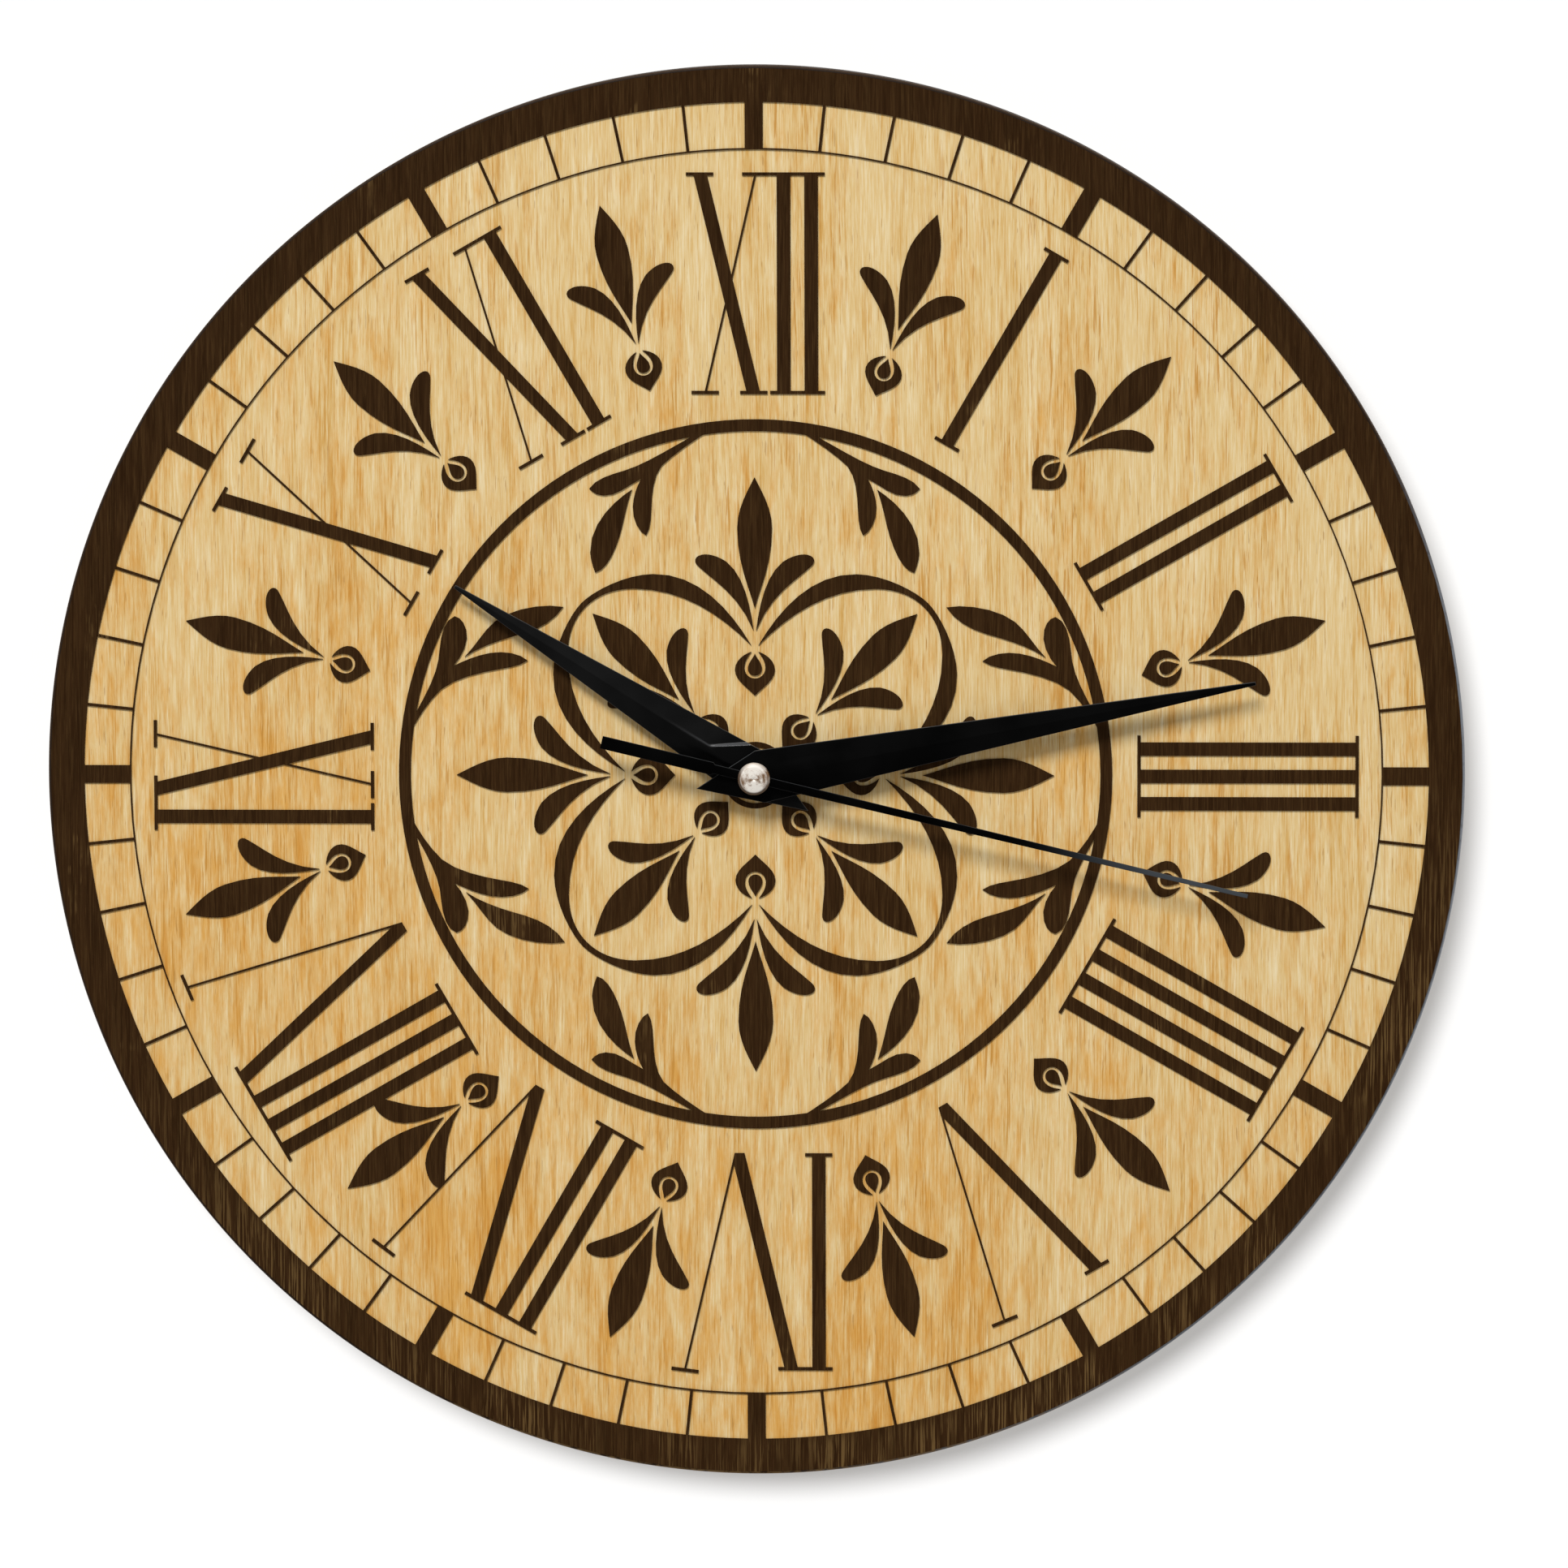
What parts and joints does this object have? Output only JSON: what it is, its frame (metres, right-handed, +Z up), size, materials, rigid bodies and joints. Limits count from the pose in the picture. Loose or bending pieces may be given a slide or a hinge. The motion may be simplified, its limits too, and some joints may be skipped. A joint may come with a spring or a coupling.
{
  "type": "wall clock",
  "caption": "Round flat wooden wall clock with dark veneer Roman numerals and leaf ornament, folded black hands and a battery quartz movement hung from an eye.",
  "frame": {"origin": "centre of the hanger eye, at the rear face that meets the wall", "axes": "+X right seen from the front, +Y back into the wall, +Z up; the dial faces -Y"},
  "size_m": [0.3, 0.0318, 0.3],
  "materials": {
    "wood": "oiled pale wood",
    "dark_veneer": "dark stained veneer",
    "hand_black": "satin black paint",
    "cap_silver": "turned",
    "brass": "machined",
    "rubber": "matt",
    "case_black": "fine grained moulding",
    "white_plastic": "moulded",
    "steel": "ground",
    "magnet": "sintered",
    "bobbin_black": "moulded",
    "copper_winding": "lacquered wire",
    "circuit_green": "resin board",
    "chip_black": "epoxy drop",
    "cell_jacket": "shrunk film"
  },
  "bodies": {
    "clock": {"dial_board": "wood", "chapter_ring": "dark_veneer", "hour_numerals": "dark_veneer", "outer_sprigs": "dark_veneer", "medallion": "dark_veneer", "rosette": "dark_veneer", "ring_nut": "brass", "bushing": "brass", "rubber_washer": "rubber", "front_case": "case_black", "rear_case": "case_black", "mid_plate": "white_plastic", "train_bridge": "white_plastic", "train_screws": "steel", "stator": "steel", "coil_core": "steel", "bobbin": "bobbin_black", "winding": "copper_winding", "circuit_board": "circuit_green", "chip": "chip_black", "crystal": "steel", "contact_plus": "steel", "contact_minus": "steel"},
    "second_hand_body": {"second_hand": "hand_black", "hand_cap": "cap_silver", "second_arbor": "steel", "second_wheel": "white_plastic"},
    "minute_hand_body": {"minute_hand": "hand_black", "minute_pipe": "white_plastic"},
    "hour_hand_body": {"hour_hand": "hand_black", "hour_wheel": "white_plastic"},
    "motion_body": {"motion_wheel": "white_plastic"},
    "centre_body": {"centre_wheel": "white_plastic"},
    "third_body": {"third_wheel": "white_plastic"},
    "intermediate_body": {"intermediate_wheel": "white_plastic"},
    "rotor_body": {"rotor": "white_plastic", "rotor_magnet": "magnet"},
    "setting_body": {"setting_knob": "white_plastic"},
    "battery": {"battery_can": "steel", "battery_jacket": "cell_jacket"}
  },
  "joints": [
    {"name": "second_hand_turn", "type": "hinge", "parent": "clock", "child": "second_hand_body", "pos_m": [0, 0, -0.033], "axis": [0, 1, 0], "continuous": true},
    {"name": "minute_hand_turn", "type": "hinge", "parent": "clock", "child": "minute_hand_body", "pos_m": [0, 0, -0.033], "axis": [0, 1, 0], "continuous": true},
    {"name": "hour_hand_turn", "type": "hinge", "parent": "clock", "child": "hour_hand_body", "pos_m": [0, 0, -0.033], "axis": [0, 1, 0], "continuous": true},
    {"name": "motion_wheel_turn", "type": "hinge", "parent": "clock", "child": "motion_body", "pos_m": [-0.00939, 0, -0.035], "axis": [0, 1, 0], "continuous": true},
    {"name": "setting_knob_turn", "type": "hinge", "parent": "clock", "child": "setting_body", "pos_m": [-0.01479, 0, -0.02564], "axis": [0, 1, 0], "continuous": true},
    {"name": "centre_wheel_turn", "type": "hinge", "parent": "clock", "child": "centre_body", "pos_m": [0, 0, -0.033], "axis": [0, 1, 0], "continuous": true},
    {"name": "third_wheel_turn", "type": "hinge", "parent": "clock", "child": "third_body", "pos_m": [0.00958, 0, -0.02951], "axis": [0, 1, 0], "continuous": true},
    {"name": "intermediate_wheel_turn", "type": "hinge", "parent": "clock", "child": "intermediate_body", "pos_m": [-0.00146, 0, -0.02473], "axis": [0, 1, 0], "continuous": true},
    {"name": "rotor_turn", "type": "hinge", "parent": "clock", "child": "rotor_body", "pos_m": [0.00521, 0, -0.02088], "axis": [0, 1, 0], "continuous": true},
    {"name": "battery_slide", "type": "slide", "parent": "clock", "child": "battery", "axis": [0, 1, 0], "range_m": [0, 0.03]}
  ],
  "couplings": [
    {"joint": "hour_hand_turn", "follows": "minute_hand_turn", "ratio": 0.083333},
    {"joint": "motion_wheel_turn", "follows": "minute_hand_turn", "ratio": -0.33333},
    {"joint": "setting_knob_turn", "follows": "minute_hand_turn", "ratio": 0.66667},
    {"joint": "centre_wheel_turn", "follows": "second_hand_turn", "ratio": 0.016667},
    {"joint": "third_wheel_turn", "follows": "second_hand_turn", "ratio": -0.13333},
    {"joint": "intermediate_wheel_turn", "follows": "second_hand_turn", "ratio": -5},
    {"joint": "rotor_turn", "follows": "second_hand_turn", "ratio": 30}
  ]
}
